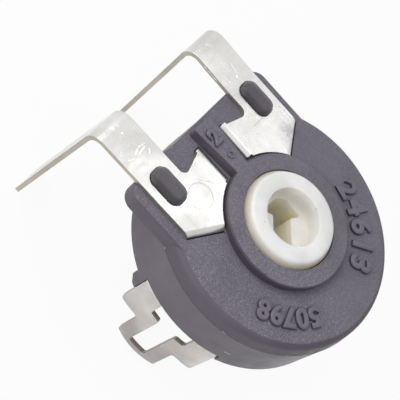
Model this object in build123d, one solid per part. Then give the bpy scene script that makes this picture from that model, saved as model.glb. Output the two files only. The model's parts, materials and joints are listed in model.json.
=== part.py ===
from build123d import *
from math import asin, cos, degrees, radians, sin, sqrt, tan
import os

# Single-turn carbon trimmer potentiometer, millimetres.
# The origin is on the rotor axis in the plane of the cover's face. +Z points out of the face,
# +Y points to the two track terminals, and the wiper terminal is on the -X side.

# Housing: the front cover with its lug, and the round rear housing
rear_radius = 7.95
rear_taper = 0.03
cover_taper = 0.20
cover_thickness = 1.15
rear_depth = 4.90
face_edge_round = 0.50
rear_edge_round = 0.14
side_wall = 0.55
rear_wall = 0.45
lug_side_inset = 1.00
lug_overhang = 0.28
lug_corner_round = 0.90
lug_edge_round = 0.10
rear_heel_half_width = 1.20
spigot_wall = 0.32
spigot_length = 0.75
sleeve_wall = 0.50

# Cover face: collar round the rotor, rib between the terminals, oval pegs
collar_radius = 4.30
collar_height = 0.60
collar_edge_round = 0.12
rib_half_width_top = 0.80
rib_half_width_foot = 0.54
rib_draft_angle = 12.0
rib_end_gap = 0.12
rib_root = 0.30
rib_corner_round = 0.22
rib_dot_radius = 0.27
rib_dot_height = 0.06
rib_dot_y = 5.27
peg_width = 1.41
peg_length = 2.43
peg_corner_round = 0.55
peg_x = 4.68
peg_y = 6.53
peg_stand = 0.32
peg_dome_round = 0.28

# Sheet metal of all three terminals
sheet = 0.30
bend_inside = 0.15

# Track terminals: a wing on the cover's face and a leg bent over the lug's top
leg_inner_x = 3.36
leg_outer_x = 5.98
wing_rib_gap = 0.20
wing_collar_gap = 0.16
wing_foot_x = 3.78
wing_corner_y = 3.63
wing_neck_x = 2.70
wing_neck_y = 6.38
wing_tab_top_y = 6.86
neck_round = 0.42
leg_root = 0.50
leg_bend_y = 11.70
leg_bend_round = 0.95
leg_tip_z = -10.75
right_leg_rise = 2.0
left_leg_rise = 0.0
right_leg_splay = 0.8
left_leg_splay = 4.7
tab_low_margin = 0.10
tab_high_margin = 0.30
tab_step_z = -0.60
foot_length = 0.90
flange_reach = 0.45

# Wiper terminal: a ring on the rear wall, bent down at the rim into a two-tine leg
collector_inner_gap = 0.30
collector_outer_margin = 0.10
wiper_leg_inset = 0.10
wiper_leg_half_width = 3.13
wiper_leg_spread = 35.0
wiper_shoulder_z = -8.00
wiper_shoulder_rise = 0.55
wiper_tine_half_width = 1.62
wiper_tip_z = -10.24
wiper_tip_bow = 0.24
wiper_gap_half_width = 1.43
wiper_bend_reach = 0.95
wiper_gap_step_z = -5.74
wiper_slot_half_width = 0.67
wiper_slot_end_z = -9.98
wiper_corner_round = 0.18
ear_inset = 0.09
ear_width = 0.78
ear_length = 1.20
ear_thickness = 0.60

# Resistive element
substrate_thickness = 0.45
substrate_sleeve_gap = 0.46
track_inner_margin = 0.75
track_outer_margin = 0.67
pad_overlap = 0.20
film = 0.05
electrical_angle = 244.0

# Rotor
rotor_top_z = 1.05
rotor_radius = 3.14
rotor_crown_taper = 0.26
rotor_shoulder_z = 0.55
rotor_crown_round = 0.25
socket_radius = 1.87
socket_floor_z = -0.25
socket_floor_round = 0.22
arrow_angle = 41.0
arrow_shaft_half_width = 0.645
arrow_neck = 0.46
arrow_barb_reach = 0.65
arrow_barb_half_width = 1.35
arrow_head_half_angle = 45.0
arrow_corner_round = 0.12
arrow_circle_radius = 1.65
flange_margin = 0.20
flange_front_z = -2.60
flange_thickness = 0.80
rear_shoulder_radius = 3.10
rear_hub_radius = 2.55
rear_hub_recess = 0.05
stop_tab_gap = 0.67
stop_tab_root = 0.50
stop_gap = 0.25
stop_tab_half_angle = 10.0
mechanical_angle = 265.0

# Wiper spring
spring_sheet = 0.15
ring_sleeve_gap = 0.26
brush_finger_reach = 0.40
brush_root_step = 0.02
brush_root_length = 0.32
brush_toe_length = 0.45
brush_toe_drop = 0.35
brush_finger_width = 0.55
brush_finger_gap = 0.25
collector_finger_width = 0.60
collector_finger_length = 1.70
collector_toe_length = 0.55
collector_toe_run = 0.40
collector_toe_rise = 0.25
rivet_radius = 0.32
rivet_head_radius = 0.48
rivet_head_height = 0.12
rivet_angles = (60, 120)
spring_bend_round = 0.12

# Clearances
running_clearance = 0.05
window_clearance = 0.10
finger_cut_clearance = 0.03
sheet_clearance = 0.06
fit_clearance = 0.04
brush_clearance = 0.04
weld = 0.10
stop_clearance_angle = 0.3
cut_overrun = 1.0
cut_reach = 20.0

# Derived planes and radii
seam_radius = rear_radius - rear_taper
face_radius = seam_radius - cover_taper
lug_half_width = face_radius - lug_side_inset
lug_top = face_radius + lug_overhang
wing_inner_x = rib_half_width_top + wing_rib_gap
wing_arc_radius = collar_radius + wing_collar_gap
wiper_leg_radius = rear_radius - wiper_leg_inset
wiper_gap_root_x = -(wiper_leg_radius - wiper_bend_reach)
ear_radius = rear_radius - ear_inset
seam_z = -cover_thickness
rear_z = -rear_depth
rear_wall_z = rear_z + rear_wall
collector_z = rear_wall_z + sheet
cavity_radius = seam_radius - side_wall
spigot_radius = cavity_radius - fit_clearance
substrate_radius = spigot_radius - spigot_wall - fit_clearance
substrate_z = seam_z - substrate_thickness
film_z = substrate_z - film
bore_radius = rotor_radius + running_clearance
sleeve_radius = bore_radius + sleeve_wall
substrate_inner_radius = sleeve_radius + substrate_sleeve_gap
track_inner_radius = substrate_inner_radius + track_inner_margin
track_outer_radius = substrate_radius - track_outer_margin
pad_inner_radius = track_inner_radius - pad_overlap
pad_outer_radius = track_outer_radius + pad_overlap
tab_low_y = pad_inner_radius - tab_low_margin
tab_high_y = pad_outer_radius - tab_high_margin
brush_radius = (track_inner_radius + track_outer_radius) / 2
wiper_ring_inner_radius = sleeve_radius + ring_sleeve_gap
wiper_ring_outer_radius = brush_radius - brush_finger_reach
wiper_ring_mid_radius = (wiper_ring_inner_radius + wiper_ring_outer_radius) / 2
collector_inner_radius = rear_shoulder_radius + collector_inner_gap
collector_outer_radius = wiper_ring_outer_radius + collector_outer_margin
rotor_crown_radius = rotor_radius - rotor_crown_taper
flange_radius = wiper_ring_outer_radius + flange_margin
stop_tab_radius = cavity_radius - stop_tab_gap
sleeve_z = flange_front_z + running_clearance
flange_rear_z = flange_front_z - flange_thickness
rear_shoulder_z = rear_wall_z + running_clearance
leg_mid_x = (leg_inner_x + leg_outer_x) / 2
leg_width = leg_outer_x - leg_inner_x
bend_outside = bend_inside + sheet
tab_slot_inner_x = wing_inner_x - sheet_clearance
tab_slot_outer_x = wing_inner_x + bend_outside
end_gap_half_width = tab_slot_outer_x
pad_start_angle = 90 - (360 - electrical_angle) / 2
stop_half_angle = (360 - mechanical_angle) / 2 - stop_tab_half_angle - stop_clearance_angle
stop_inner_radius = flange_radius + stop_gap


def tube(outer, inner, z_low, z_high):
    ring = Circle(outer) - Circle(inner)
    return extrude(Plane.XY.offset(z_low) * ring, z_high - z_low)


def disc(radius, z_low, z_high):
    return extrude(Plane.XY.offset(z_low) * Circle(radius), z_high - z_low)


def block(x_low, x_high, y_low, y_high, z_low, z_high):
    size = (x_high - x_low, y_high - y_low, z_high - z_low)
    return Pos((x_low + x_high) / 2, (y_low + y_high) / 2, (z_low + z_high) / 2) * Box(*size)


def turned(points):
    # A solid of revolution from a closed (radius, z) outline
    return revolve(make_face(Polyline([(r, 0, z) for r, z in points], close=True)), Axis.Z)


def sector(inner, outer, angle_low, angle_high, z_low, z_high):
    # A flat ring segment between two angles, measured from +X
    span = radians(angle_high - angle_low)
    low = radians(angle_low)

    def at(radius, angle):
        return (radius * cos(angle), radius * sin(angle))

    outline = Polyline(at(outer, low), at(inner, low))
    outline += ThreePointArc(at(inner, low), at(inner, low + span / 2), at(inner, low + span))
    outline += Polyline(at(inner, low + span), at(outer, low + span))
    outline += ThreePointArc(at(outer, low + span), at(outer, low + span / 2), at(outer, low))
    return extrude(Plane.XY.offset(z_low) * make_face(outline), z_high - z_low)


def rounded_rectangle(x, y, width, length, corner):
    return Pos(x, y) * RectangleRounded(width, length, corner)


# Front cover

def cover_plate():
    disc_body = turned([(0, 0), (face_radius, 0), (seam_radius, seam_z), (0, seam_z)])
    rim = disc_body.edges().filter_by(GeomType.CIRCLE).group_by(Axis.Z)[-1]
    disc_body = fillet(rim, face_edge_round)
    outline = rounded_rectangle(0, 0, 2 * lug_half_width, 2 * lug_top, lug_corner_round)
    lug = extrude(Plane.XY.offset(seam_z) * outline, cover_thickness)
    lug = split(lug, Plane.XZ, keep=Keep.BOTTOM)
    front = lug.edges().group_by(Axis.Z)[-1].filter_by(lambda e: e.center().Y > 0.5)
    return disc_body + fillet(front, lug_edge_round)


def rib():
    top_z = collar_height
    foot_y = collar_radius - rib_root
    end_y = lug_top - rib_end_gap
    spread = top_z * tan(radians(rib_draft_angle))

    def outline(grow):
        return make_face(Polyline((-rib_half_width_foot - grow, foot_y), (rib_half_width_foot + grow, foot_y),
                                  (rib_half_width_top + grow, end_y), (-rib_half_width_top - grow, end_y),
                                  close=True))

    body = loft([Plane.XY * outline(spread), Plane.XY.offset(top_z) * outline(0)])
    corners = body.edges().filter_by(lambda e: e.center().Y > end_y - 0.01 and e.length < 1)
    body = fillet(corners, rib_corner_round)
    crown = body.edges().group_by(Axis.Z)[-1]
    body = fillet(crown.filter_by(lambda e: e.center().Y > collar_radius), collar_edge_round / 2)
    dot = tube(rib_dot_radius, rib_dot_radius / 2, top_z, top_z + rib_dot_height)
    return body + Pos(0, rib_dot_y) * dot


def peg(side):
    outline = rounded_rectangle(side * peg_x, peg_y, peg_width, peg_length, peg_corner_round)
    body = extrude(outline, sheet + peg_stand)
    return fillet(body.edges().group_by(Axis.Z)[-1], peg_dome_round)


def tab_slot(side):
    # The cut that lets the wing's inner tab through the cover, wider at the face than below
    low_x, high_x = sorted((side * tab_slot_inner_x, side * tab_slot_outer_x))
    mouth = block(low_x, high_x, collar_radius, wing_tab_top_y + sheet_clearance,
                  tab_step_z - sheet_clearance, cut_overrun)
    throat = block(low_x, high_x, tab_low_y - sheet_clearance, tab_high_y + sheet_clearance,
                   seam_z - cut_overrun, 0)
    return mouth + throat


def lower_edge_plane(side):
    # A plane along the wing's slanted lower edge: X runs along the edge, Y out of the wing
    foot = Vector(side * wing_foot_x, wing_foot_y(), 0)
    corner = Vector(side * leg_outer_x, wing_corner_y, 0)
    along = (corner - foot).normalized()
    return Plane(origin=foot, x_dir=along, z_dir=Vector(0, 0, 1))


def wing_foot_y():
    return sqrt(wing_arc_radius ** 2 - wing_foot_x ** 2)


def lower_edge_length():
    return sqrt((leg_outer_x - wing_foot_x) ** 2 + (wing_corner_y - wing_foot_y()) ** 2)


def lower_groove(side):
    inward = side * (sheet + sheet_clearance)
    outward = -side * sheet_clearance
    low, high = sorted((inward, outward))
    body = block(-sheet_clearance, lower_edge_length() + sheet_clearance, low, high,
                 -flange_reach - sheet_clearance, cut_overrun)
    return lower_edge_plane(side) * body


def front_cover():
    body = cover_plate()
    collar = disc(collar_radius, 0, collar_height)
    collar = fillet(collar.edges().group_by(Axis.Z)[-1], collar_edge_round)
    body += collar + rib()
    body += tube(spigot_radius, spigot_radius - spigot_wall, seam_z - spigot_length, seam_z)
    body += disc(sleeve_radius, sleeve_z, seam_z)
    for side in (-1, 1):
        body += peg(side)
        body -= tab_slot(side) + lower_groove(side)
    return body - disc(bore_radius, sleeve_z - cut_overrun, collar_height + cut_overrun)


# Rear housing

def rear_housing():
    shell = turned([(0, seam_z), (seam_radius, seam_z), (rear_radius, rear_z), (0, rear_z)])
    shell = fillet(shell.edges().filter_by(GeomType.CIRCLE).group_by(Axis.Z)[0], rear_edge_round)
    heel = block(-rear_heel_half_width, rear_heel_half_width, 0, lug_top, rear_z, seam_z)
    heel_corners = heel.edges().filter_by(Axis.Z).group_by(Axis.Y)[-1]
    shell += fillet(heel_corners, rear_edge_round)
    shell -= disc(cavity_radius, rear_wall_z, seam_z + cut_overrun)
    shell -= disc(rear_hub_radius + running_clearance, rear_z - cut_overrun, 0)
    shell += sector(stop_inner_radius, cavity_radius + side_wall / 2, 90 - stop_half_angle,
                    90 + stop_half_angle, rear_wall_z, flange_front_z)
    notch_half = wiper_leg_half_width + sheet_clearance
    notch = block(-rear_radius - cut_overrun, 0, -notch_half, notch_half,
                  rear_z - cut_overrun, collector_z)
    notch -= disc(wiper_leg_radius - sheet - sheet_clearance, rear_z - cut_overrun, rear_wall_z)
    notch -= disc(cavity_radius, rear_wall_z, collector_z)
    return shell - notch + guide_ear()


def guide_ear():
    # A short ear that runs on from the side wall beside the wiper leg
    outer = ear_radius
    start = degrees(asin((wiper_leg_half_width + sheet_clearance) / outer))
    span = degrees(ear_width / outer)
    body = sector(outer - ear_thickness, outer, 180 - start - span, 180 - start,
                  rear_z - ear_length, rear_z + rear_edge_round)
    far_edge = body.edges().filter_by(GeomType.LINE).group_by(Axis.Z)[0].sort_by(Axis.Y)[-1]
    return chamfer(far_edge, ear_width * 0.6)


# Track terminals

def wing_blank():
    # Right-hand wing and leg root, flat, with the bends' allowance left out
    foot_y = wing_foot_y()
    inner_y = sqrt(wing_arc_radius ** 2 - tab_slot_outer_x ** 2)
    mid_x = (tab_slot_outer_x + wing_foot_x) / 2
    mid_y = sqrt(wing_arc_radius ** 2 - mid_x ** 2)
    slope = (wing_tab_top_y - wing_neck_y) / (wing_inner_x - wing_neck_x)
    tab_y = wing_neck_y + slope * (tab_slot_outer_x - wing_neck_x)
    outline = ThreePointArc((wing_foot_x, foot_y), (mid_x, mid_y), (tab_slot_outer_x, inner_y))
    outline += Polyline((tab_slot_outer_x, inner_y), (tab_slot_outer_x, tab_y), (wing_neck_x, wing_neck_y),
                        (leg_inner_x, wing_neck_y + slope * (leg_inner_x - wing_neck_x)),
                        (leg_inner_x, lug_top), (leg_outer_x, lug_top), (leg_outer_x, wing_corner_y),
                        (wing_foot_x, foot_y))
    face = make_face(outline)
    neck = face.vertices().sort_by_distance((leg_inner_x, wing_neck_y, 0))[0]
    return fillet(neck, neck_round)


def leg_points(rise, splay):
    # Middle of the sheet, from the lug's top edge over the bend to the tip
    start_z = sheet / 2
    bend_z = start_z + (leg_bend_y - lug_top) * tan(radians(rise))
    drop = bend_z - leg_tip_z
    return [(lug_top - leg_root, start_z), (lug_top, start_z), (leg_bend_y - sheet / 2, bend_z),
            (leg_bend_y - sheet / 2 + drop * tan(radians(splay)), leg_tip_z)]


def leg(rise, splay):
    points = leg_points(rise, splay)
    path = FilletPolyline(points[1], points[2], points[3], radius=leg_bend_round - sheet / 2)
    path = Line(points[0], points[1]) + path
    face = trace(path, line_width=sheet)
    plane = Plane(origin=(leg_mid_x, 0, 0), x_dir=(0, 1, 0), z_dir=(1, 0, 0))
    body = extrude(plane * face, leg_width / 2, both=True)
    return body & block(0, cut_reach, lug_top - leg_root, cut_reach, leg_tip_z, cut_reach)


def inner_tab():
    # The wing's inner edge bent down beside the rib, through the cover and under the end pad
    top = sheet / 2
    mid_x = wing_inner_x + sheet / 2
    down = [(tab_slot_outer_x + weld, top), (mid_x, top), (mid_x, tab_step_z)]
    upper = trace(FilletPolyline(*down, radius=bend_inside + sheet / 2), line_width=sheet)
    foot_z = film_z - sheet / 2
    clinch = [(mid_x, tab_step_z), (mid_x, foot_z), (mid_x + foot_length, foot_z)]
    lower = trace(FilletPolyline(*clinch, radius=bend_inside + sheet / 2), line_width=sheet)
    low_y = sqrt(wing_arc_radius ** 2 - wing_inner_x ** 2)
    plane = Plane(origin=(0, 0, 0), x_dir=(1, 0, 0), z_dir=(0, -1, 0))
    wide = extrude(plane * upper, -wing_tab_top_y) - block(0, cut_reach, 0, low_y, -cut_reach, cut_reach)
    narrow = extrude(plane * lower, -tab_high_y) - block(0, cut_reach, 0, tab_low_y, -cut_reach, cut_reach)
    return wide + narrow


def lower_flange():
    # The wing's slanted lower edge bent down into the cover's groove
    top = sheet / 2
    points = [(bend_outside + weld, top), (sheet / 2, top), (sheet / 2, -flange_reach)]
    face = trace(FilletPolyline(*points, radius=bend_inside + sheet / 2), line_width=sheet)
    section = Plane(origin=(-cut_overrun, 0, 0), x_dir=(0, 1, 0), z_dir=(1, 0, 0))
    strip_body = extrude(section * face, lower_edge_length() + 2 * cut_overrun)
    strip_body = lower_edge_plane(1) * strip_body
    inside = block(0, leg_outer_x, 0, lug_top, -cut_overrun, cut_overrun)
    inside -= disc(wing_arc_radius, -cut_overrun, cut_overrun)
    return strip_body & inside


def track_terminal(side, rise, splay):
    blank = extrude(wing_blank(), sheet)
    edge_cut = lower_edge_plane(1) * block(-cut_overrun, lower_edge_length() + cut_overrun, -cut_overrun, bend_outside,
                                          -cut_overrun, cut_overrun)
    body = (blank - edge_cut) + leg(rise, splay) + inner_tab() + lower_flange()
    body -= extrude(rounded_rectangle(peg_x, peg_y, peg_width + 2 * fit_clearance, peg_length + 2 * fit_clearance,
                                      peg_corner_round + fit_clearance), sheet)
    return body if side > 0 else mirror(body, Plane.YZ)


# Wiper terminal

def wiper_leg_outline():
    # Two tines joined at the tip, seen from the side
    tip_mid = wiper_tip_z - wiper_tip_bow
    half, tine = wiper_leg_half_width, wiper_tine_half_width
    notch_z = wiper_shoulder_z + wiper_shoulder_rise
    outline = Polyline((-tine, wiper_tip_z), (-tine, notch_z), (-half, wiper_shoulder_z), (-half, 0),
                       (half, 0), (half, wiper_shoulder_z), (tine, notch_z), (tine, wiper_tip_z))
    outline += ThreePointArc((tine, wiper_tip_z), (0, tip_mid), (-tine, wiper_tip_z))
    face = make_face(outline)
    face = fillet(face.vertices().filter_by(lambda v: v.Y < 0), wiper_corner_round)
    wide, narrow = wiper_gap_half_width, wiper_slot_half_width
    gap = make_face(Polyline((-wide, cut_overrun), (wide, cut_overrun), (wide, wiper_gap_step_z),
                             (narrow, wiper_gap_step_z), (narrow, wiper_slot_end_z), (-narrow, wiper_slot_end_z),
                             (-narrow, wiper_gap_step_z), (-wide, wiper_gap_step_z), close=True))
    return face - fillet(gap.vertices(), wiper_corner_round)


def collector_terminal():
    mid_r = wiper_leg_radius - sheet / 2
    mid_z = collector_z - sheet / 2
    points = [(-wiper_gap_root_x - 1, mid_z), (mid_r, mid_z), (mid_r, wiper_tip_z - 1)]
    section = trace(FilletPolyline(*points, radius=bend_inside + sheet / 2), line_width=sheet)
    upright = Plane(origin=(0, 0, 0), x_dir=(1, 0, 0), z_dir=(0, -1, 0))
    bent = revolve(Rot(0, 0, 180 - wiper_leg_spread) * (upright * section), Axis.Z, 2 * wiper_leg_spread)
    side_view = Plane(origin=(wiper_gap_root_x, 0, 0), x_dir=(0, 1, 0), z_dir=(1, 0, 0))
    leg_body = bent & extrude(side_view * wiper_leg_outline(), -4)
    tongue = block(wiper_gap_root_x, 0, -wiper_leg_half_width, wiper_leg_half_width, rear_wall_z, collector_z)
    tongue -= disc(collector_outer_radius - weld, rear_wall_z, collector_z)
    return leg_body + tongue + tube(collector_outer_radius, collector_inner_radius, rear_wall_z, collector_z)


# Resistive element

def horseshoe(inner, outer, z_low, z_high):
    gap = block(-end_gap_half_width, end_gap_half_width, 0, outer + cut_overrun, z_low, z_high)
    return tube(outer, inner, z_low, z_high) - gap


def track_substrate():
    return horseshoe(substrate_inner_radius, substrate_radius, substrate_z, seam_z)


def carbon_track():
    low = 90 + (360 - electrical_angle) / 2
    return sector(track_inner_radius, track_outer_radius, low, low + electrical_angle, film_z, substrate_z)


def end_pad(side):
    ring = sector(pad_inner_radius, pad_outer_radius, pad_start_angle, 90, film_z, substrate_z)
    ring -= block(-end_gap_half_width, end_gap_half_width, 0, pad_outer_radius + cut_overrun, film_z, substrate_z)
    return ring if side > 0 else mirror(ring, Plane.YZ)


# Rotor and its wiper spring

def arrow_outline():
    # An arrow that a shaped shaft fits in one way only, cut off by a circle at its point and its tail
    tip = arrow_barb_reach + arrow_barb_half_width / tan(radians(arrow_head_half_angle))
    tail = -arrow_circle_radius - cut_overrun
    half, barb = arrow_shaft_half_width, arrow_barb_half_width
    face = make_face(Polyline((tail, -half), (arrow_neck, -half), (arrow_barb_reach, -barb), (tip, 0),
                              (arrow_barb_reach, barb), (arrow_neck, half), (tail, half), close=True))
    rounded = face.vertices().filter_by(lambda v: abs(v.Y) > half - 0.01 and v.X > 0)
    face = fillet(rounded, arrow_corner_round)
    return Rot(0, 0, arrow_angle) * (face & Circle(arrow_circle_radius))


def finger_window(grow, z_low, z_high):
    # The opening that a collector finger is cut from, and that it passes through in the flange
    half = collector_finger_width / 2 + grow
    end = collector_finger_length / 2 + grow
    mid = wiper_ring_mid_radius
    return block(mid - half, mid + half, -end, end, z_low, z_high)


def rotor():
    profile = [(0, rotor_top_z), (rotor_crown_radius, rotor_top_z), (rotor_radius, rotor_shoulder_z),
               (rotor_radius, flange_front_z), (flange_radius, flange_front_z),
               (flange_radius, flange_rear_z), (rear_shoulder_radius, flange_rear_z),
               (rear_shoulder_radius, rear_shoulder_z), (rear_hub_radius, rear_shoulder_z),
               (rear_hub_radius, rear_z + rear_hub_recess), (0, rear_z + rear_hub_recess)]
    body = turned(profile)
    body = fillet(body.edges().filter_by(GeomType.CIRCLE).group_by(Axis.Z)[-1], rotor_crown_round)
    socket = disc(socket_radius, socket_floor_z, rotor_top_z + cut_overrun)
    socket = fillet(socket.edges().group_by(Axis.Z)[0], socket_floor_round)
    body -= socket
    body -= extrude(Plane.XY.offset(rear_z - cut_overrun) * arrow_outline(), socket_floor_z - rear_z + 2 * cut_overrun)
    body += sector(flange_radius - stop_tab_root, stop_tab_radius, 270 - stop_tab_half_angle, 270 + stop_tab_half_angle,
                   flange_rear_z, flange_front_z)
    for turn in (0, 180):
        body -= Rot(0, 0, turn) * finger_window(window_clearance, flange_rear_z - cut_overrun,
                                             flange_front_z + cut_overrun)
    for angle in rivet_angles:
        body += Rot(0, 0, angle) * rivet()
    return body


def rivet():
    top = flange_front_z + spring_sheet
    stem = disc(rivet_radius, flange_front_z - weld, top)
    head = disc(rivet_head_radius, top, top + rivet_head_height)
    return Pos(wiper_ring_mid_radius, 0) * (stem + fillet(head.edges().group_by(Axis.Z)[-1], rivet_head_height / 2))


def brush_finger(offset):
    # A finger that climbs from the ring to the carbon track
    mid_z = flange_front_z + spring_sheet / 2
    top_z = film_z - brush_clearance - spring_sheet / 2
    root = wiper_ring_outer_radius + brush_root_step
    points = [(root - brush_root_length, mid_z), (root, mid_z), (brush_radius, top_z),
              (brush_radius + brush_toe_length, top_z - brush_toe_drop)]
    face = trace(FilletPolyline(*points, radius=spring_bend_round), line_width=spring_sheet)
    plane = Plane(origin=(offset, 0, 0), x_dir=(0, -1, 0), z_dir=(-1, 0, 0))
    return extrude(plane * face, brush_finger_width / 2, both=True)


def collector_finger():
    # A finger cut from the ring and bent back through the flange to the collector
    mid_z = flange_front_z + spring_sheet / 2
    low_z = collector_z + brush_clearance + spring_sheet / 2
    end = collector_finger_length / 2
    touch = -end + collector_toe_length
    points = [(end + weld, mid_z), (end - weld, mid_z), (touch, low_z),
              (touch - collector_toe_run, low_z + collector_toe_rise)]
    face = trace(FilletPolyline(*points, radius=spring_bend_round), line_width=spring_sheet)
    plane = Plane(origin=(wiper_ring_mid_radius, 0, 0), x_dir=(0, 1, 0), z_dir=(1, 0, 0))
    return extrude(plane * face, collector_finger_width / 2, both=True)


def wiper_spring():
    body = tube(wiper_ring_outer_radius, wiper_ring_inner_radius, flange_front_z, flange_front_z + spring_sheet)
    for turn in (0, 180):
        cut = finger_window(finger_cut_clearance, flange_front_z - cut_overrun, flange_front_z + cut_overrun)
        body -= Rot(0, 0, turn) * cut
        body += Rot(0, 0, turn) * collector_finger()
    for side in (-1, 1):
        body += brush_finger(side * (brush_finger_width + brush_finger_gap) / 2)
    for angle in rivet_angles:
        hole = disc(rivet_radius, flange_front_z - cut_overrun, flange_front_z + cut_overrun)
        body -= Rot(0, 0, angle) * (Pos(wiper_ring_mid_radius, 0) * hole)
    return body


def write(node, shape):
    solids = shape.solids()
    result = solids[0] if len(solids) == 1 else Compound(solids)
    export_step(result, "parts/" + node + ".step")
    print(node, len(solids), "solid", round(result.volume, 3), "mm3")


os.makedirs("parts", exist_ok=True)
write("front_cover", front_cover())
write("rear_housing", rear_housing())
write("left_track_terminal", track_terminal(-1, left_leg_rise, left_leg_splay))
write("right_track_terminal", track_terminal(1, right_leg_rise, right_leg_splay))
write("wiper_terminal", collector_terminal())
write("track_substrate", track_substrate())
write("carbon_track", carbon_track())
write("left_end_pad", end_pad(-1))
write("right_end_pad", end_pad(1))
write("rotor", rotor())
write("wiper_spring", wiper_spring())
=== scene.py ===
import json
from math import atan2, cos, hypot, pi, radians, sin

import bpy
from mathutils import Matrix, Vector


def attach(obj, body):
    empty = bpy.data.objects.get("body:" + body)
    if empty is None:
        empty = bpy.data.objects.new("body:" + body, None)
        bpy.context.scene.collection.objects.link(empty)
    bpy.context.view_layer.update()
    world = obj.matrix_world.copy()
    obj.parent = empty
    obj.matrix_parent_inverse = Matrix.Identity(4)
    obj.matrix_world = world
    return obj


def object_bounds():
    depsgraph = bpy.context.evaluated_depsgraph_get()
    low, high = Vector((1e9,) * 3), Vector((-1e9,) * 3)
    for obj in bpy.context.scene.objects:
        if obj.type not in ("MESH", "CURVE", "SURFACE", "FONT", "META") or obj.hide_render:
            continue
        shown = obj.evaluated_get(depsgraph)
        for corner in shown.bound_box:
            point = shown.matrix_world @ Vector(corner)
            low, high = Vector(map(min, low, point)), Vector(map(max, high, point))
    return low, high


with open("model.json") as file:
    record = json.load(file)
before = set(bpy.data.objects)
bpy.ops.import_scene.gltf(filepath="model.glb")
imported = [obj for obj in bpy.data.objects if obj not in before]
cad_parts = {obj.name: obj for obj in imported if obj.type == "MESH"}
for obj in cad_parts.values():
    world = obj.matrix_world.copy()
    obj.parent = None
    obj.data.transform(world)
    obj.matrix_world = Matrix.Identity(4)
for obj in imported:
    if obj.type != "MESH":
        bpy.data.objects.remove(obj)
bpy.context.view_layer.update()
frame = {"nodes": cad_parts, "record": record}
nodes = frame["nodes"]

# Places and sizes on the part are in millimetres, and MM turns them into metres. Noise scales
# are per metre, angles of places are in degrees, and colours are linear RGB.

MM = 0.001
PARTING_Z = -1.15          # where the cover meets the rear housing
SHEET_TOP = 0.30           # the upper face of the two track terminals
PEG_FIELD = {"x": 3.60, "y_low": 5.00, "y_high": 8.00, "z": 0.27, "edge": 0.05}  # around both pegs
DASH = (-7.27, -3.16, -3.20)      # a short score on the side of the rear housing
PRESS_MARK = (-3.50, 4.80, SHEET_TOP)
PRESS_MARK_RADIUS = 0.85
# centre of a painted reflection near the right wing's lower bend
PAINTED_REFLECTION_SPOT = (4.95, 3.55, SHEET_TOP)

SEAM_FLAKES = [((-6.79, 4.08, -1.15), 0.07), ((-7.74, -1.68, -1.15), 0.08),
               ((-7.70, -1.84, -1.18), 0.06), ((-5.67, -5.53, -1.16), 0.08)]
FLAKE_SQUEEZE = 1.6        # how much flatter than wide a flake is

ROTOR_SPECKS = [((1.16, 1.46, 1.00), 0.050), ((1.72, -0.72, 1.00), 0.045),
                ((-1.70, 0.62, 1.02), 0.045), ((-1.42, 0.10, 0.96), 0.035),
                ((-1.86, 1.12, 1.05), 0.035)]

SCUFFS = [((-4.59, 10.57), (-4.51, 10.35)), ((-4.88, 9.08), (-4.44, 9.29)),
          ((-4.44, 9.29), (-3.75, 9.24)), ((-4.76, 8.96), (-3.92, 9.11)),
          ((-5.59, 9.13), (-4.98, 8.94)), ((-3.85, 8.85), (-4.14, 8.52)),
          ((-5.81, 6.27), (-5.70, 6.02)), ((-5.95, 5.65), (-5.86, 5.24)),
          ((-5.71, 7.12), (-5.60, 6.85)), ((5.04, 9.26), (4.91, 8.47)),
          ((4.81, 8.39), (4.67, 8.25)), ((3.64, 3.41), (3.71, 2.76)),
          ((-3.00, 5.70), (-2.10, 4.70)), ((-4.90, 4.30), (-4.20, 4.10))]
SCUFF_WIDTH = 0.045
DARK_LINES = [((2.79, 5.44), (4.18, 5.40)), ((-1.85, 6.60), (-1.40, 6.56)),
              ((-1.47, 6.48), (-1.45, 6.17)), ((5.62, 5.24), (5.74, 4.95)),
              ((5.78, 4.85), (5.84, 4.70)), ((-2.60, 3.90), (-2.20, 4.60))]
DARK_LINE_WIDTH = 0.035

ORIGIN, UNSCALED = (0.0, 0.0, 0.0), (1.0, 1.0, 1.0)

BLACK, WHITE = (0.0, 0.0, 0.0), (1.0, 1.0, 1.0)
SEAM_DARK = (0.020, 0.016, 0.018)
COVER_FRONT = (0.148, 0.136, 0.169)
# painted highlight for the crests of the cover's grain
COVER_CREST_HIGHLIGHT = (0.350, 0.335, 0.385)
# the second is painted shade for the cover's side
COVER_SIDE, COVER_SIDE_PAINTED_SHADE = (0.112, 0.095, 0.120), (0.082, 0.068, 0.087)
COVER_DUST, COVER_FLAKES = (0.50, 0.48, 0.50), (0.55, 0.48, 0.42)
PEG_SHADED, PEG_LIT = (0.048, 0.040, 0.050), (0.165, 0.155, 0.175)
# the first is painted shade for the flanks of the raised figures
FIGURE_FLANK_PAINTED_SHADE, FIGURE_TOP = (0.074, 0.060, 0.078), (0.134, 0.121, 0.152)
HOUSING_REAR, HOUSING_FRONT = (0.121, 0.104, 0.129), (0.140, 0.123, 0.150)
# the first is painted shade for the housing's side
HOUSING_PAINTED_SHADE, HOUSING_SCRATCH = (0.088, 0.073, 0.094), (0.40, 0.38, 0.40)
HOUSING_DUST, HOUSING_FLAKES = (0.46, 0.44, 0.44), (0.62, 0.58, 0.55)
# the second is painted warm light for the rotor's deeper parts
ROTOR_WHITE, ROTOR_DEEP_PAINTED_LIGHT = (0.855, 0.850, 0.825), (1.0, 0.93, 0.735)
# painted shade at the foot of the rotor's outer side, and on its rounded lip
ROTOR_FOOT_PAINTED_SHADE, ROTOR_LIP_PAINTED_SHADE = (0.52, 0.43, 0.32), (0.66, 0.61, 0.52)
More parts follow.
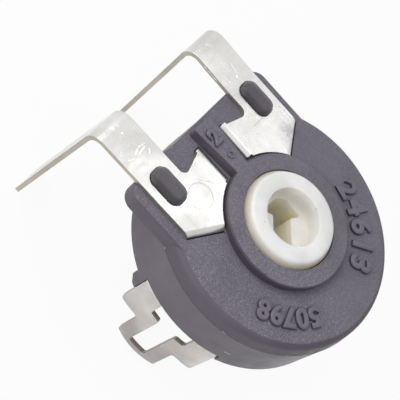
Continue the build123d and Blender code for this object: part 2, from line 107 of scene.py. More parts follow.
# the first is painted warm light for the rotor's enclosed hollows
ROTOR_HOLE_PAINTED_LIGHT, ROTOR_SPECK, ROTOR_DUST = (1.0, 0.925, 0.715), (0.20, 0.13, 0.07), (0.60, 0.54, 0.44)
# painted shade towards the wiper terminal's tip
WIPER_TIP_PAINTED_SHADE = (0.47, 0.44, 0.435)
SCRATCH_BRIGHT, SCUFF_BRIGHT, LINE_DARK = (0.98, 0.97, 0.95), (1.0, 1.0, 0.99), (0.30, 0.28, 0.26)
STAIN, SMEAR = (0.50, 0.46, 0.41), (0.60, 0.575, 0.53)
# the second is a painted reflection of dark surroundings
PRESSED, BEND_PAINTED_REFLECTION = (0.55, 0.53, 0.49), (0.36, 0.385, 0.43)
SHEARED, SHEET_DUST = (0.44, 0.38, 0.31), (0.30, 0.25, 0.20)
FILM_DUST = (0.40, 0.38, 0.35)


# Shader node helpers

class Tree:
    """A node tree with short calls: values and colours are set on sockets, links join nodes."""

    def __init__(self, tree):
        self.tree = tree
        self.column = 0
        self.bsdf = None       # a material's surface shader, as an output
        self.surface = None    # the input that shows a material's surface

    def node(self, kind, **inputs):
        made = self.tree.nodes.new(kind)
        made.location = (200 * self.column, -60 * (self.column % 5))
        self.column += 1
        for name, value in inputs.items():
            self.put(made.inputs[name.replace("_", " ")], value)
        return made

    def put(self, socket, value):
        if isinstance(value, bpy.types.NodeSocket):
            self.tree.links.new(value, socket)
        elif socket.type == "RGBA" and len(value) == 3:
            socket.default_value = (*value, 1.0)
        else:
            socket.default_value = value

    def math(self, operation, a, b=0.0):
        made = self.node("ShaderNodeMath")
        made.operation = operation
        self.put(made.inputs[0], a)
        self.put(made.inputs[1], b)
        return made.outputs[0]

    def times(self, first, *others):
        for other in others:
            first = self.math("MULTIPLY", first, other)
        return first

    def most(self, first, *others):
        for other in others:
            first = self.math("MAXIMUM", first, other)
        return first

    def mix(self, factor, a, b):
        made = self.node("ShaderNodeMix")
        made.data_type = "RGBA"
        self.put(made.inputs[0], factor)
        self.put(made.inputs[6], a)
        self.put(made.inputs[7], b)
        return made.outputs[2]

    def mix_normals(self, factor, a, b):
        made = self.node("ShaderNodeMix")
        made.data_type = "VECTOR"
        self.put(made.inputs[0], factor)
        self.put(made.inputs[4], a)
        self.put(made.inputs[5], b)
        return made.outputs[1]

    def noise(self, vector, scale, detail=2.0, roughness=0.5, distortion=0.0):
        made = self.node("ShaderNodeTexNoise", Vector=vector, Scale=scale, Detail=detail,
                         Roughness=roughness, Distortion=distortion)
        return made.outputs["Fac"]

    def ramp(self, value, low, high, to_low=0.0, to_high=1.0):
        """A soft step from to_low, at low and below, up or down to to_high."""
        made = self.node("ShaderNodeMapRange")
        made.interpolation_type = "SMOOTHSTEP"
        for index, number in enumerate((value, low, high, to_low, to_high)):
            self.put(made.inputs[index], number)
        return made.outputs[0]

    def fade(self, value, low, high):
        """1 at low and below, 0 at high and above."""
        return self.ramp(value, low, high, 1.0, 0.0)

    def band(self, value, middle, inner, outer):
        """1 near the middle value, 0 beyond outer from it."""
        away = self.math("ABSOLUTE", self.math("SUBTRACT", value, middle))
        return self.fade(away, inner, outer)

    def scaled(self, vector, scale, turn=(0, 0, 0), move=(0, 0, 0)):
        made = self.node("ShaderNodeMapping", Vector=vector, Location=move, Rotation=turn,
                         Scale=scale)
        return made.outputs["Vector"]

    def split(self, vector):
        return self.node("ShaderNodeSeparateXYZ", Vector=vector).outputs

    def distance(self, vector, point):
        made = self.node("ShaderNodeVectorMath")
        made.operation = "DISTANCE"
        self.put(made.inputs[0], vector)
        self.put(made.inputs[1], point)
        return made.outputs["Value"]

    def normal(self):
        return self.split(self.node("ShaderNodeNewGeometry").outputs["Normal"])

    def rounded_normal(self, radius):
        """The normal as if the edges were rounded; the radius in millimetres."""
        return self.node("ShaderNodeBevel", Radius=radius * MM).outputs["Normal"]

    def bump(self, height, strength, depth, normal=None):
        """The normal of a rough surface; the depth in millimetres."""
        made = self.node("ShaderNodeBump", Height=height, Strength=strength, Distance=depth * MM)
        if normal is not None:
            self.put(made.inputs["Normal"], normal)
        return made.outputs["Normal"]


def group(name, inputs, outputs):
    """A shader node group with its sockets; returns its helper, its inputs and its output node."""
    tree = bpy.data.node_groups.new(name, "ShaderNodeTree")
    for label, kind in inputs:
        tree.interface.new_socket(label, in_out="INPUT", socket_type=kind)
    for label, kind in outputs:
        tree.interface.new_socket(label, in_out="OUTPUT", socket_type=kind)
    helper = Tree(tree)
    start = helper.node("NodeGroupInput")
    end = helper.node("NodeGroupOutput")
    return helper, start.outputs, end.inputs


FLOAT, COLOR, VECTOR = "NodeSocketFloat", "NodeSocketColor", "NodeSocketVector"


def make_wear_group():
    """Faint cloudy tone and fine dust on any surface."""
    t, start, end = group(
        "handling_wear",
        [("Vector", VECTOR), ("Color", COLOR), ("Amount", FLOAT), ("Dust", COLOR)],
        [("Color", COLOR)])
    cloud = t.noise(start["Vector"], scale=420.0, detail=4.0, roughness=0.55)
    darker = t.mix(0.16, start["Color"], BLACK)
    toned = t.mix(t.ramp(cloud, 0.35, 0.70), start["Color"], darker)
    specks = t.ramp(t.noise(start["Vector"], scale=5200.0, detail=1.0), 0.74, 0.79)
    patches = t.ramp(t.noise(start["Vector"], scale=900.0, detail=3.0, roughness=0.6), 0.50, 0.72)
    dusty = t.times(specks, patches, start["Amount"])
    t.put(end["Color"], t.mix(dusty, toned, start["Dust"]))
    return t.tree


def make_scratch_group():
    """Fine straight scratches in three directions, in patches; gives a mask."""
    t, start, end = group("scratches", [("Vector", VECTOR), ("Density", FLOAT)], [("Mask", FLOAT)])
    lines = []
    for turn, seed in ((0.5, 0.0), (-0.9, 3.1), (1.7, 7.7)):
        stretched = t.scaled(start["Vector"], (9000.0, 260.0, 9000.0), (0.3, 0.2, turn),
                             (seed, seed, 0))
        noise = t.noise(stretched, scale=1.0, detail=1.0, roughness=0.4, distortion=0.15)
        lines.append(t.ramp(noise, 0.70, 0.76))
    patches = t.ramp(t.noise(start["Vector"], scale=380.0), 0.45, 0.65)
    t.put(end["Mask"], t.times(t.most(*lines), patches, start["Density"]))
    return t.tree


def make_grain_group():
    """The fine grain of a moulded face: its height, and a mask of the crests that catch light."""
    t, start, end = group("moulded_grain", [("Vector", VECTOR), ("Scale", FLOAT)],
                          [("Height", FLOAT), ("Crests", FLOAT)])
    fine = t.noise(start["Vector"], start["Scale"], roughness=0.6)
    coarse = t.noise(start["Vector"], t.times(start["Scale"], 0.3))
    height = t.math("ADD", t.times(fine, 0.75), t.times(coarse, 0.25))
    t.put(end["Height"], height)
    t.put(end["Crests"], t.ramp(height, 0.51, 0.62))
    return t.tree


def make_stroke_group():
    """One scratch along +X from the origin of its own coordinates, tapered at both ends."""
    t, start, end = group("stroke", [("Vector", VECTOR), ("Length", FLOAT), ("Width", FLOAT)],
                          [("Mask", FLOAT)])
    place = t.split(start["Vector"])
    wander = t.math("SUBTRACT", t.noise(start["Vector"], scale=2400.0), 0.5)
    across = t.math("ABSOLUTE", t.math("ADD", place["Y"], t.times(wander, 0.12 * MM)))
    along = t.math("DIVIDE", place["X"], start["Length"])
    ends = t.times(t.ramp(along, 0.0, 0.2), t.fade(along, 0.8, 1.0))
    near = t.fade(across, t.times(start["Width"], 0.4), start["Width"])
    level = t.band(place["Z"], 0.0, 0.1 * MM, 0.4 * MM)
    t.put(end["Mask"], t.times(ends, near, level))
    return t.tree


wear_group = make_wear_group()
stroke_group = make_stroke_group()
scratch_group = make_scratch_group()
grain_group = make_grain_group()


def use(t, tree, **inputs):
    """A node group in a tree, with its inputs set; returns its outputs."""
    made = t.node("ShaderNodeGroup")
    made.node_tree = tree
    for label, value in inputs.items():
        t.put(made.inputs[label], value)
    return made.outputs


def material(name):
    """A node material: returns it, its tree helper, object coordinates and shader's inputs."""
    made = bpy.data.materials.new(name)
    made.use_nodes = True
    made.node_tree.nodes.clear()
    t = Tree(made.node_tree)
    coordinates = t.node("ShaderNodeTexCoord").outputs["Object"]
    shader = t.node("ShaderNodeBsdfPrincipled")
    out = t.node("ShaderNodeOutputMaterial")
    t.bsdf, t.surface = shader.outputs["BSDF"], out.inputs["Surface"]
    t.put(t.surface, t.bsdf)
    return made, t, coordinates, shader.inputs


# Masks on the part

def spot(t, where, centre, inner, outer):
    """1 nearer than inner to a point, 0 beyond outer."""
    return t.fade(t.distance(where, tuple(c * MM for c in centre)), inner * MM, outer * MM)


def stroke(t, where, a, b, width):
    """A mask for one scratch from a to b on the upper face of the track terminals."""
    angle = atan2(b[1] - a[1], b[0] - a[0])
    along = cos(angle) * a[0] + sin(angle) * a[1]
    across = cos(angle) * a[1] - sin(angle) * a[0]
    local = t.scaled(where, UNSCALED, turn=(0.0, 0.0, -angle),
                     move=(-along * MM, -across * MM, -SHEET_TOP * MM))
    length = hypot(b[0] - a[0], b[1] - a[1])
    return use(t, stroke_group, Vector=local, Length=length * MM, Width=width * MM)["Mask"]


def strokes(t, where, lines, width):
    return t.most(*[stroke(t, where, a, b, width) for a, b in lines])


def peg_mask(t, where):
    """1 on the two oval pegs that stand through the track terminals."""
    field, place = PEG_FIELD, t.split(where)
    edge = field["edge"]
    beside = t.math("ABSOLUTE", place["X"])
    return t.times(t.ramp(beside, field["x"] * MM, (field["x"] + edge) * MM),
                   t.ramp(place["Y"], field["y_low"] * MM, (field["y_low"] + edge) * MM),
                   t.fade(place["Y"], (field["y_high"] - edge) * MM, field["y_high"] * MM),
                   t.ramp(place["Z"], field["z"] * MM, (field["z"] + edge) * MM))


def with_seam(t, where, base):
    """The base colour with the thin dark line where the cover meets the rear housing."""
    line = t.band(t.split(where)["Z"], PARTING_Z * MM, 0.012 * MM, 0.030 * MM)
    return t.mix(t.times(line, 0.75), base, SEAM_DARK)


def seam_flakes(t, where):
    """Pale bits of flash on the parting line."""
    masks = []
    for centre, radius in SEAM_FLAKES:
        squeezed = t.scaled(where, (1.0, 1.0, FLAKE_SQUEEZE),
                            move=(0, 0, (1 - FLAKE_SQUEEZE) * centre[2] * MM))
        masks.append(spot(t, squeezed, centre, 0.5 * radius, radius))
    return t.most(*masks)


# Materials

def cover_plastic():
    """Grained plastic on the faces that look up, smoother on the sides, smoothest on the pegs;
    painted shade on the sides towards +X, painted light and shade on the pegs, painted highlights
    on the grain's crests.
    """
    made, t, where, shader = material("cover_plastic")
    x = t.split(where)["X"]
    pegs = peg_mask(t, where)
    grained = t.times(t.ramp(t.normal()["Z"], 0.93, 0.99), t.math("SUBTRACT", 1.0, pegs))
    # Painted shade: the side is darker from -X towards +X.
    side = t.mix(t.ramp(x, -7.6 * MM, -4.5 * MM), COVER_SIDE, COVER_SIDE_PAINTED_SHADE)
    base = t.mix(grained, side, COVER_FRONT)
    # Painted light and shade on the pegs: lighter where the rounded normal turns towards +X,
    # darker where it turns away.
    dome = t.rounded_normal(0.45)
    lit = t.ramp(t.split(dome)["X"], -0.25, 0.45)
    base = t.mix(pegs, base, t.mix(lit, PEG_SHADED, PEG_LIT))
    grain = use(t, grain_group, Vector=where, Scale=17000.0)
    # Painted highlight on the grain's crests, stronger towards -X.
    sparkle = t.ramp(x, -5.5 * MM, 3.0 * MM, 1.0, 0.42)
    base = t.mix(t.times(grained, sparkle, grain["Crests"]), base, COVER_CREST_HIGHLIGHT)
    worn = use(t, wear_group, Vector=where, Color=base, Amount=0.2, Dust=COVER_DUST)
    base = with_seam(t, where, worn["Color"])
    t.put(shader["Base Color"], t.mix(seam_flakes(t, where), base, COVER_FLAKES))
    rough = t.ramp(t.noise(where, scale=1500.0, detail=3.0), 0.3, 0.7, 0.42, 0.54)
    t.put(shader["Roughness"], t.math("SUBTRACT", rough, t.times(pegs, 0.26)))
    t.put(shader["Specular IOR Level"], 0.45)
    rounded = t.mix_normals(pegs, t.rounded_normal(0.07), dome)
    strength = t.math("ADD", t.times(grained, 0.85), 0.10)
    t.put(shader["Normal"], t.bump(grain["Height"], strength, 0.12, rounded))
    return made


def figure_plastic():
    """The cover's plastic on its raised figures: without grain, with painted shade on their
    flanks.
    """
    made, t, where, shader = material("smooth_cover_plastic")
    # Painted shade: the flanks are darker than the tops.
    base = t.mix(t.ramp(t.normal()["Z"], 0.25, 0.92), FIGURE_FLANK_PAINTED_SHADE, FIGURE_TOP)
    worn = use(t, wear_group, Vector=where, Color=base, Amount=0.2, Dust=COVER_DUST)
    t.put(shader["Base Color"], worn["Color"])
    rough = t.ramp(t.noise(where, scale=1500.0, detail=3.0), 0.3, 0.7, 0.30, 0.42)
    t.put(shader["Roughness"], rough)
    t.put(shader["Specular IOR Level"], 0.45)
    grain = use(t, grain_group, Vector=where, Scale=17000.0)
    t.put(shader["Normal"], t.bump(grain["Height"], 0.10, 0.12, t.rounded_normal(0.07)))
    return made


def housing_plastic():
    """Smooth plastic, darker towards the rear, with painted shade towards the side that is turned
    down.
    """
    made, t, where, shader = material("housing_plastic")
    place = t.split(where)
    base = t.mix(t.ramp(place["Z"], -4.9 * MM, -1.2 * MM), HOUSING_REAR, HOUSING_FRONT)
    # Painted shade on the side, from -X towards +X.
    turned = t.ramp(place["X"], -7.6 * MM, -4.8 * MM, 0.0, 0.85)
    base = t.mix(turned, base, HOUSING_PAINTED_SHADE)
    marks = use(t, scratch_group, Vector=where, Density=0.12)
    base = t.mix(marks["Mask"], base, HOUSING_SCRATCH)
    worn = use(t, wear_group, Vector=where, Color=base, Amount=0.2, Dust=HOUSING_DUST)
    base = with_seam(t, where, worn["Color"])
    dash = t.times(spot(t, where, DASH, 0.20, 0.26),
                   t.band(place["Z"], DASH[2] * MM, 0.02 * MM, 0.05 * MM))
    nicks = t.most(seam_flakes(t, where), t.times(dash, 0.8))
    t.put(shader["Base Color"], t.mix(nicks, base, HOUSING_FLAKES))
    rough = t.ramp(t.noise(where, scale=900.0, detail=3.0), 0.3, 0.7, 0.32, 0.42)
    t.put(shader["Roughness"], rough)
    t.put(shader["Specular IOR Level"], 0.42)
    height = t.noise(where, scale=3800.0)
    t.put(shader["Normal"], t.bump(height, 0.10, 0.02, t.rounded_normal(0.06)))
    return made


def rotor_plastic():
    """Off-white plastic that light enters: painted warm light in its hollows and deeper parts,
    painted shade at the foot and on the rounded lip of its outer side.
    """
    made, t, where, shader = material("rotor_plastic")
    height = t.split(where)["Z"]
    # Painted warm light: the lower parts are lighter and warmer.
    base = t.mix(t.ramp(height, -2.2 * MM, 0.6 * MM), ROTOR_DEEP_PAINTED_LIGHT, ROTOR_WHITE)
    radius = t.distance(t.scaled(where, (1.0, 1.0, 0.0)), ORIGIN)
    outside = t.ramp(radius, 2.7 * MM, 3.0 * MM)
    # Painted shade at the foot of the outer side.
    foot = t.times(outside, t.fade(height, 0.55 * MM, 1.05 * MM))
    base = t.mix(t.times(foot, 0.85), base, ROTOR_FOOT_PAINTED_SHADE)
    # Painted shade on the rounded lip, where the normal tilts away from +Z.
    lip = t.times(outside, t.fade(t.normal()["Z"], 0.72, 0.96))
    base = t.mix(t.times(lip, 0.5), base, ROTOR_LIP_PAINTED_SHADE)
    # Painted warm light in the enclosed hollows, where ambient occlusion is strong.
    covered = t.node("ShaderNodeAmbientOcclusion", Distance=2.0 * MM)
    covered.samples = 8
    base = t.mix(t.ramp(covered.outputs["AO"], 0.05, 0.75), ROTOR_HOLE_PAINTED_LIGHT, base)
    for centre, size in ROTOR_SPECKS:
        speck = spot(t, where, centre, 0.5 * size, 1.3 * size)
        base = t.mix(t.times(speck, 0.75), base, ROTOR_SPECK)
    worn = use(t, wear_group, Vector=where, Color=base, Amount=0.15, Dust=ROTOR_DUST)
    t.put(shader["Base Color"], worn["Color"])
    rough = t.ramp(t.noise(where, scale=1100.0, detail=3.0), 0.3, 0.7, 0.38, 0.48)
    t.put(shader["Roughness"], rough)
    t.put(shader["Subsurface Weight"], 0.8)
    t.put(shader["Subsurface Radius"], (1.0, 0.88, 0.62))
    t.put(shader["Subsurface Scale"], 1.8 * MM)
    ripple = t.noise(where, scale=2600.0)
    t.put(shader["Normal"], t.bump(ripple, 0.05, 0.02, t.rounded_normal(0.04)))
    return made


def wiper_edges(t):
    """1 on the sheared edges of the wiper terminal's upright leg."""
    normal = t.normal()
    along, upright = (t.math("ABSOLUTE", normal[axis]) for axis in "YZ")
    return t.most(t.ramp(along, 0.75, 0.9), t.ramp(upright, 0.75, 0.9))


def track_terminal_edges(t, where):
    """1 on the sheared edges of the two track terminals."""
    normal, place = t.normal(), t.split(where)
    across, upright = (t.math("ABSOLUTE", normal[axis]) for axis in "XZ")
    on_wing = t.times(t.ramp(place["Z"], -0.02 * MM, 0.02 * MM),
                      t.fade(place["Y"], 7.8 * MM, 8.0 * MM))
    return t.most(t.ramp(across, 0.85, 0.95), t.times(on_wing, t.fade(upright, 0.2, 0.45)))


def terminal_tones(t, where, base, scuffs, pressed):
    """The marks seen on the two track terminals, with a painted reflection of dark surroundings
    near the right wing's lower bend.
    """
    streaks = t.scaled(where, (700.0, 2600.0, 700.0), (0.0, 0.0, 0.6))
    smears = t.noise(streaks, scale=1.0, detail=3.0, roughness=0.55, distortion=0.6)
    base = t.mix(t.ramp(smears, 0.48, 0.75, 0.0, 0.30), base, SMEAR)
    base = t.mix(t.times(pressed, 0.14), base, PRESSED)
    mottled = t.ramp(t.noise(where, scale=1900.0, detail=3.0, roughness=0.6), 0.35, 0.6)
    # Painted reflection of dark surroundings, bluish grey, near the right wing's lower bend.
    painted_reflection = t.times(spot(t, where, PAINTED_REFLECTION_SPOT, 0.30, 1.15), mottled)
    base = t.mix(t.times(painted_reflection, 0.6), base, BEND_PAINTED_REFLECTION)
    base = t.mix(t.times(scuffs, 0.9), base, SCUFF_BRIGHT)
    dark = strokes(t, where, DARK_LINES, DARK_LINE_WIDTH)
    return t.mix(t.times(dark, 0.45), base, LINE_DARK)


def sheet_metal(name, bright, dull, low_rough, high_rough, brushed, wiper):
    """Tin-plated sheet: clouded plating, a slow waviness, scratches and tan cut edges."""
    made, t, where, shader = material(name)
    clouds = t.noise(where, scale=270.0, distortion=0.6)
    base = t.mix(t.ramp(clouds, 0.35, 0.68), bright, dull)
    if wiper:
        # Painted shade: the upright leg is darker towards its tip.
        base = t.mix(t.ramp(t.split(where)["Z"], -8.6 * MM, -6.8 * MM), WIPER_TIP_PAINTED_SHADE, base)
    marks = use(t, scratch_group, Vector=where, Density=0.8)["Mask"]
    base = t.mix(t.times(marks, 0.6), base, SCRATCH_BRIGHT)
    stains = t.noise(where, scale=1450.0, detail=3.0, roughness=0.55, distortion=0.8)
    base = t.mix(t.times(t.ramp(stains, 0.66, 0.80), 0.25), base, STAIN)
    if wiper:
        edges = wiper_edges(t)
    else:
        scuffs = strokes(t, where, SCUFFS, SCUFF_WIDTH)
        pressed = spot(t, where, PRESS_MARK, PRESS_MARK_RADIUS - 0.07, PRESS_MARK_RADIUS + 0.03)
        base = terminal_tones(t, where, base, scuffs, pressed)
        edges = track_terminal_edges(t, where)
    base = t.mix(t.times(edges, 0.75), base, SHEARED)
    worn = use(t, wear_group, Vector=where, Color=base, Amount=0.12, Dust=SHEET_DUST)
    t.put(shader["Base Color"], worn["Color"])
    t.put(shader["Metallic"], 0.88)
    uneven = t.noise(where, scale=420.0, detail=3.0, roughness=0.55)
    rough = t.ramp(uneven, 0.3, 0.72, low_rough, high_rough)
    rough = t.math("ADD", rough, t.times(marks, 0.12))
    t.put(shader["Roughness"], t.math("ADD", rough, t.times(edges, 0.15)))
    waves = t.noise(where, scale=300.0, roughness=0.45, distortion=0.8)
    normal = t.bump(waves, 0.55, 0.14, t.rounded_normal(0.05))
    lines = t.noise(t.scaled(where, brushed), scale=1.0, detail=3.0, roughness=0.6)
    normal = t.bump(lines, 0.12, 0.02, normal)
    normal = t.bump(marks, 0.3, 0.03, normal)
    if not wiper:
        normal = t.bump(scuffs, 0.6, 0.03, normal)
        normal = t.bump(pressed, 0.35, 0.04, normal)
    t.put(shader["Normal"], normal)
    return made


def plain_film(name, base, other, metallic, rough, scale):
    """Printed films, laminate and spring sheet inside the housing."""
    made, t, where, shader = material(name)
    mottle = t.noise(where, scale=scale, detail=4.0, roughness=0.6)
    mottled = t.mix(t.ramp(mottle, 0.3, 0.7), base, other)
    worn = use(t, wear_group, Vector=where, Color=mottled, Amount=0.4, Dust=FILM_DUST)
    t.put(shader["Base Color"], worn["Color"])
    t.put(shader["Metallic"], metallic)
    uneven = t.noise(where, scale=scale * 1.7, detail=3.0)
    t.put(shader["Roughness"], t.ramp(uneven, 0.3, 0.7, rough - 0.06, rough + 0.08))
    t.put(shader["Normal"], t.bump(t.noise(where, scale=scale * 3), 0.15, 0.02))
    return made


materials = {
    "cover_plastic": cover_plastic(),
    "smooth_cover_plastic": figure_plastic(),
    "housing_plastic": housing_plastic(),
    "rotor_plastic": rotor_plastic(),
    "tinned_sheet": sheet_metal(
        "tinned_sheet", bright=(0.83, 0.825, 0.81), dull=(0.68, 0.675, 0.66),
        low_rough=0.20, high_rough=0.32, brushed=(12000.0, 500.0, 500.0), wiper=False),
    "matte_tinned_sheet": sheet_metal(
        "matte_tinned_sheet", bright=(0.78, 0.755, 0.735), dull=(0.60, 0.575, 0.56),
        low_rough=0.42, high_rough=0.56, brushed=(500.0, 500.0, 12000.0), wiper=True),
    "laminate": plain_film(
        "laminate", base=(0.42, 0.27, 0.13), other=(0.33, 0.20, 0.09),
        metallic=0.0, rough=0.55, scale=1500.0),
    "carbon_film": plain_film(
        "carbon_film", base=(0.020, 0.020, 0.022), other=(0.034, 0.033, 0.034),
        metallic=0.0, rough=0.50, scale=2400.0),
    "silver_film": plain_film(
        "silver_film", base=(0.66, 0.66, 0.64), other=(0.55, 0.54, 0.51),
        metallic=0.7, rough=0.50, scale=2100.0),
    "spring_bronze": plain_film(
        "spring_bronze", base=(0.72, 0.45, 0.24), other=(0.60, 0.37, 0.19),
        metallic=1.0, rough=0.34, scale=1200.0),
}

for part in frame["record"]["subparts"]:
    mesh = nodes[part["node"]].data
    mesh.materials.clear()
    mesh.materials.append(materials[part["material_slot"]])


# Raised figures on the cover, in the place of the mould's lettering

# Each run of figures follows an arc round the rotor: angles in degrees, sizes in millimetres.
FIGURE_RUNS = [{"text": "24613", "start": -17.0, "step": -12.8, "radius": 5.66, "height": 1.45},
               {"text": "50798", "start": -122.5, "step": -8.5, "radius": 5.90, "height": 1.15}]
RIB_FIGURE = {"text": "2", "place": (-0.10, 6.66), "height": 0.95, "base_z": 0.58}
FIGURE_LIFT = 0.07         # from the plastic up to the middle of a figure's thickness
FIGURE_BODY = 0.03         # half the thickness of its straight flank
FIGURE_ROUND = 0.11        # the rounding above and below that
FIGURE_THINNING = 0.008    # how far its outline is drawn in
FIGURE_SHARE = 0.70        # a figure's height as a share of the font's size


def raised_figure(body, place, turn, height, base_z):
    """One figure as a mesh with rounded flanks."""
    bpy.ops.object.select_all(action="DESELECT")
    bpy.ops.object.text_add(location=(0, 0, 0))
    text = bpy.context.object.data
    text.body = body
    text.size = height * MM / FIGURE_SHARE
    text.align_x = "CENTER"
    text.align_y = "CENTER"
    text.offset = -FIGURE_THINNING * MM
    text.extrude = FIGURE_BODY * MM
    text.bevel_depth = FIGURE_ROUND * MM
    text.bevel_resolution = 3
    text.resolution_u = 5
    bpy.ops.object.convert(target="MESH")
    figure = bpy.context.object
    figure.location = (place[0] * MM, place[1] * MM, (base_z + FIGURE_LIFT) * MM)
    figure.rotation_euler = (0, 0, turn)
    bpy.ops.object.transform_apply(location=True, rotation=True, scale=True)
    return figure


def figures_on_cover():
    made = []
    for run in FIGURE_RUNS:
        for index, body in enumerate(run["text"]):
            angle = radians(run["start"] + run["step"] * index)
            place = (run["radius"] * cos(angle), run["radius"] * sin(angle))
            made.append(raised_figure(body, place, angle - pi / 2, run["height"], 0.0))
    made.append(raised_figure(RIB_FIGURE["text"], RIB_FIGURE["place"], 0.0,
                              RIB_FIGURE["height"], RIB_FIGURE["base_z"]))
    bpy.ops.object.select_all(action="DESELECT")
    for piece in made:
        piece.select_set(True)
    bpy.context.view_layer.objects.active = made[0]
    bpy.ops.object.join()
    figures = bpy.context.object
    figures.name = "cover_figures"
    bpy.ops.object.mode_set(mode="EDIT")
    bpy.ops.mesh.select_all(action="SELECT")
    bpy.ops.mesh.remove_doubles(threshold=0.001 * MM)
    bpy.ops.mesh.normals_make_consistent(inside=False)
    bpy.ops.object.mode_set(mode="OBJECT")
    bpy.ops.object.origin_set(type="ORIGIN_CURSOR")
    bpy.ops.object.shade_smooth_by_angle(angle=radians(50))
    figures.data.materials.clear()
    figures.data.materials.append(materials["smooth_cover_plastic"])
    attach(figures, "housing")


BURR_CENTRE = (3.325, 9.60, 0.215)
BURR_SIZE = (0.11, 1.15, 0.15)
BURR_TILT = 2.0
BURR_RAGGEDNESS = 0.02


def shearing_burr():
    """The ragged lip along the right leg's inner edge, where the strip was cut."""
    bpy.ops.object.select_all(action="DESELECT")
    bpy.ops.mesh.primitive_cube_add(size=1.0, location=[c * MM for c in BURR_CENTRE])
    lip = bpy.context.object
    lip.name = "shearing_burr"
    lip.dimensions = [c * MM for c in BURR_SIZE]
    lip.rotation_euler = (radians(BURR_TILT), 0, 0)
    bpy.ops.object.transform_apply(location=True, rotation=True, scale=True)
    bpy.ops.object.mode_set(mode="EDIT")
    bpy.ops.mesh.select_all(action="SELECT")
    bpy.ops.mesh.subdivide(number_cuts=7)
    bpy.ops.mesh.vertices_smooth(factor=0.4, repeat=2, xaxis=True, yaxis=False, zaxis=True)
    bpy.ops.transform.vertex_random(offset=BURR_RAGGEDNESS * MM, seed=7)
    bpy.ops.mesh.normals_make_consistent(inside=False)
    bpy.ops.object.mode_set(mode="OBJECT")
    bpy.ops.object.origin_set(type="ORIGIN_CURSOR")
    lip.data.materials.append(materials["tinned_sheet"])
    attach(lip, "housing")


bpy.context.scene.cursor.location = (0, 0, 0)
figures_on_cover()
shearing_burr()


# Camera, floor and light

# The camera was fitted to the photo: its place, its axes, and its focal length in pixels.
CAMERA_PLACE = (-38.3083663, 10.14740429, 48.64138998)
CAMERA_RIGHT = (0.5636, -0.67272, 0.47937)
CAMERA_DOWN = (-0.58866, -0.73421, -0.33825)
CAMERA_AHEAD = (0.57951, -0.09155, -0.80981)
FOCAL_PIXELS = 1036.218
PHOTO_PIXELS = 400
SENSOR_WIDTH = 36.0

FLOOR_SIZE = 600.0
FLOOR_GAP = 0.5            # keeps the floor clear of the lowest leg
FLOOR_WHITENESS = 0.93     # how much of what is seen of the floor is plain white
PAPER_TONES = ((0.68, 0.68, 0.68), (0.72, 0.72, 0.715))
SKY_LOW, SKY_HIGH = (0.34, 0.34, 0.35), (0.86, 0.86, 0.88)
SKY_STRENGTH = 0.70
LAMPS = [
    {"name": "key_softbox", "place": (10, 75, 90), "look_at": (0, 2, 0),
     "size": (70, 70), "power": 0.068},
    {"name": "fill_softbox", "place": (-85, 62, 40), "look_at": (0, 2, -3),
     "size": (80, 80), "power": 0.036},
    {"name": "wing_softbox", "place": (48, -14, 84), "look_at": (-3, 4, 0),
     "size": (26, 22), "power": 0.0036},
]


def place_camera():
    data = bpy.data.cameras.new("photo_camera")
    camera = bpy.data.objects.new("photo_camera", data)
    bpy.context.scene.collection.objects.link(camera)
    turn = Matrix((Vector(CAMERA_RIGHT), -Vector(CAMERA_DOWN), -Vector(CAMERA_AHEAD))).transposed()
    camera.matrix_world = Matrix.Translation(Vector(CAMERA_PLACE) * MM) @ turn.to_4x4()
    data.sensor_width = SENSOR_WIDTH
    data.lens = FOCAL_PIXELS / PHOTO_PIXELS * SENSOR_WIDTH
    data.clip_start = 0.001
    data.clip_end = 10.0
    bpy.context.scene.camera = camera


def seen_directly(t):
    """1 for camera, mirror and see-through rays, 0 for the rays that light the object."""
    path = t.node("ShaderNodeLightPath").outputs
    return t.most(path["Is Camera Ray"], path["Is Transmission Ray"], path["Is Glossy Ray"])


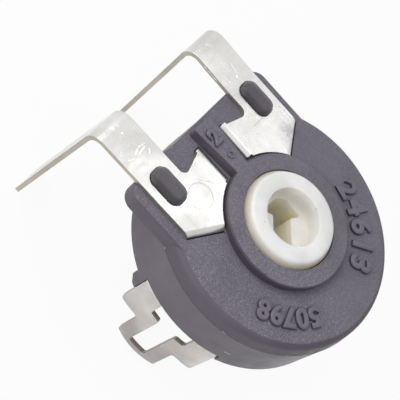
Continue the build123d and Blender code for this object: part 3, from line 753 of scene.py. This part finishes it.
def mix_shaders(t, factor, a, b):
    made = t.node("ShaderNodeMixShader")
    for index, value in enumerate((factor, a, b)):
        t.put(made.inputs[index], value)
    return made.outputs[0]


def place_floor():
    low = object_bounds()[0]
    bpy.ops.mesh.primitive_plane_add(size=FLOOR_SIZE * MM,
                                     location=(0, 0, low[2] - FLOOR_GAP * MM))
    floor = bpy.context.object
    floor.name = "floor"
    made, t, where, shader = material("floor_paper")
    grain = t.noise(where, scale=700.0, detail=3.0)
    t.put(shader["Base Color"], t.mix(grain, *PAPER_TONES))
    t.put(shader["Roughness"], 0.9)
    white = t.node("ShaderNodeEmission", Color=WHITE, Strength=1.0).outputs[0]
    whiteness = t.times(seen_directly(t), FLOOR_WHITENESS)
    t.put(t.surface, mix_shaders(t, whiteness, t.bsdf, white))
    floor.data.materials.append(made)


def place_world():
    """A dim studio to light the part, plain white where it is seen directly."""
    world = bpy.data.worlds.new("studio")
    bpy.context.scene.world = world
    world.use_nodes = True
    world.node_tree.nodes.clear()
    t = Tree(world.node_tree)
    where = t.node("ShaderNodeTexCoord").outputs["Generated"]
    sky = t.mix(t.ramp(t.split(where)["Z"], -0.2, 0.9), SKY_LOW, SKY_HIGH)
    light = t.node("ShaderNodeBackground", Color=sky, Strength=SKY_STRENGTH).outputs[0]
    white = t.node("ShaderNodeBackground", Color=WHITE, Strength=1.0).outputs[0]
    out = t.node("ShaderNodeOutputWorld")
    t.put(out.inputs["Surface"], mix_shaders(t, seen_directly(t), light, white))


def place_lamp(name, place, look_at, size, power):
    data = bpy.data.lights.new(name, "AREA")
    data.shape = "RECTANGLE"
    data.size = size[0] * MM
    data.size_y = size[1] * MM
    data.energy = power
    lamp = bpy.data.objects.new(name, data)
    bpy.context.scene.collection.objects.link(lamp)
    lamp.location = Vector(place) * MM
    aim = Vector(look_at) * MM - lamp.location
    lamp.rotation_euler = aim.to_track_quat("-Z", "Y").to_euler()


place_camera()
place_floor()
place_world()
for lamp in LAMPS:
    place_lamp(**lamp)

bpy.context.scene.view_settings.view_transform = "Standard"
